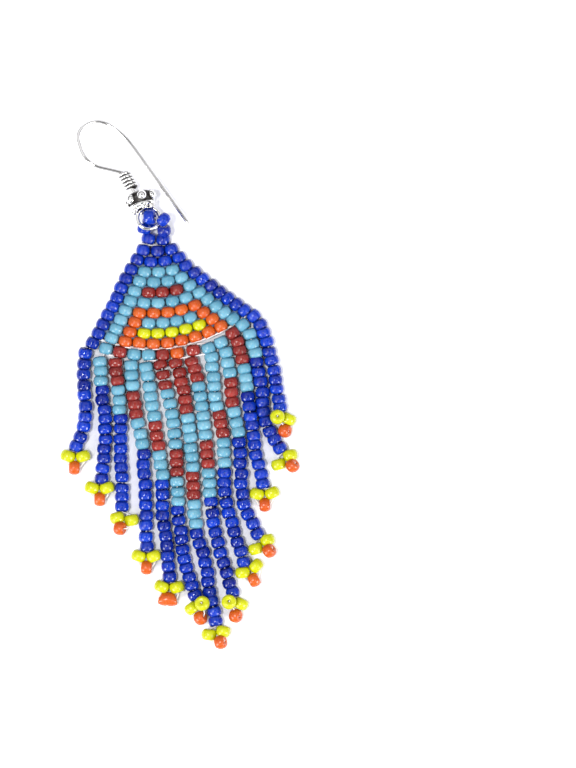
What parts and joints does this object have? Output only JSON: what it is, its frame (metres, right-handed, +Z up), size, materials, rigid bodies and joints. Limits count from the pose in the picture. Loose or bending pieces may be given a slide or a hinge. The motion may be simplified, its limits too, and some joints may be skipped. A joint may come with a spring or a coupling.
{
  "type": "seed bead earring",
  "caption": "Drop earring lying flat: a triangular seed bead panel with a long beaded fringe and picot tips, hung by a bead loop from the ring of a silver ear hook.",
  "frame": {"origin": "middle of the box's bottom face, on the surface the earring lies on", "axes": "+X to the right across the panel, +Y from the fringe to the ear hook, +Z up from the surface"},
  "size_m": [0.0391, 0.0897, 0.0057],
  "materials": {
    "blue_glass": "glossy transparent cobalt",
    "turquoise_glass": "glossy opaque",
    "red_glass": "glossy transparent",
    "orange_glass": "glossy opaque",
    "yellow_glass": "glossy opaque",
    "silver": "polished with darkened recesses",
    "thread": "waxed nylon thread"
  },
  "bodies": {
    "root": {"ear_hook": "silver", "wire_coil": "silver", "granulated_bead": "silver", "bead_loop": "blue_glass", "row_02": "blue_glass", "row_03": "blue_glass", "row_04": "blue_glass", "row_05": "turquoise_glass", "row_06": "turquoise_glass", "row_07": "red_glass", "row_08": "turquoise_glass", "row_09": "orange_glass", "row_10": "turquoise_glass", "row_11": "yellow_glass", "row_12": "orange_glass", "row_13": "turquoise_glass", "strand_a": "blue_glass", "strand_b": "blue_glass", "strand_c": "blue_glass", "strand_d": "blue_glass", "strand_e": "blue_glass", "strand_f": "blue_glass", "strand_g": "blue_glass", "strand_h": "blue_glass", "strand_i": "blue_glass", "strand_j": "blue_glass", "strand_k": "blue_glass", "strand_l": "blue_glass", "strand_m": "blue_glass", "tip_a": "yellow_glass", "tip_b": "yellow_glass", "tip_c": "yellow_glass", "tip_d": "yellow_glass", "tip_e": "yellow_glass", "tip_f": "yellow_glass", "tip_g": "yellow_glass", "tip_h": "yellow_glass", "tip_i": "yellow_glass", "tip_j": "yellow_glass", "tip_k": "yellow_glass", "tip_l": "yellow_glass", "tip_m": "yellow_glass"}
  },
  "joints": []
}
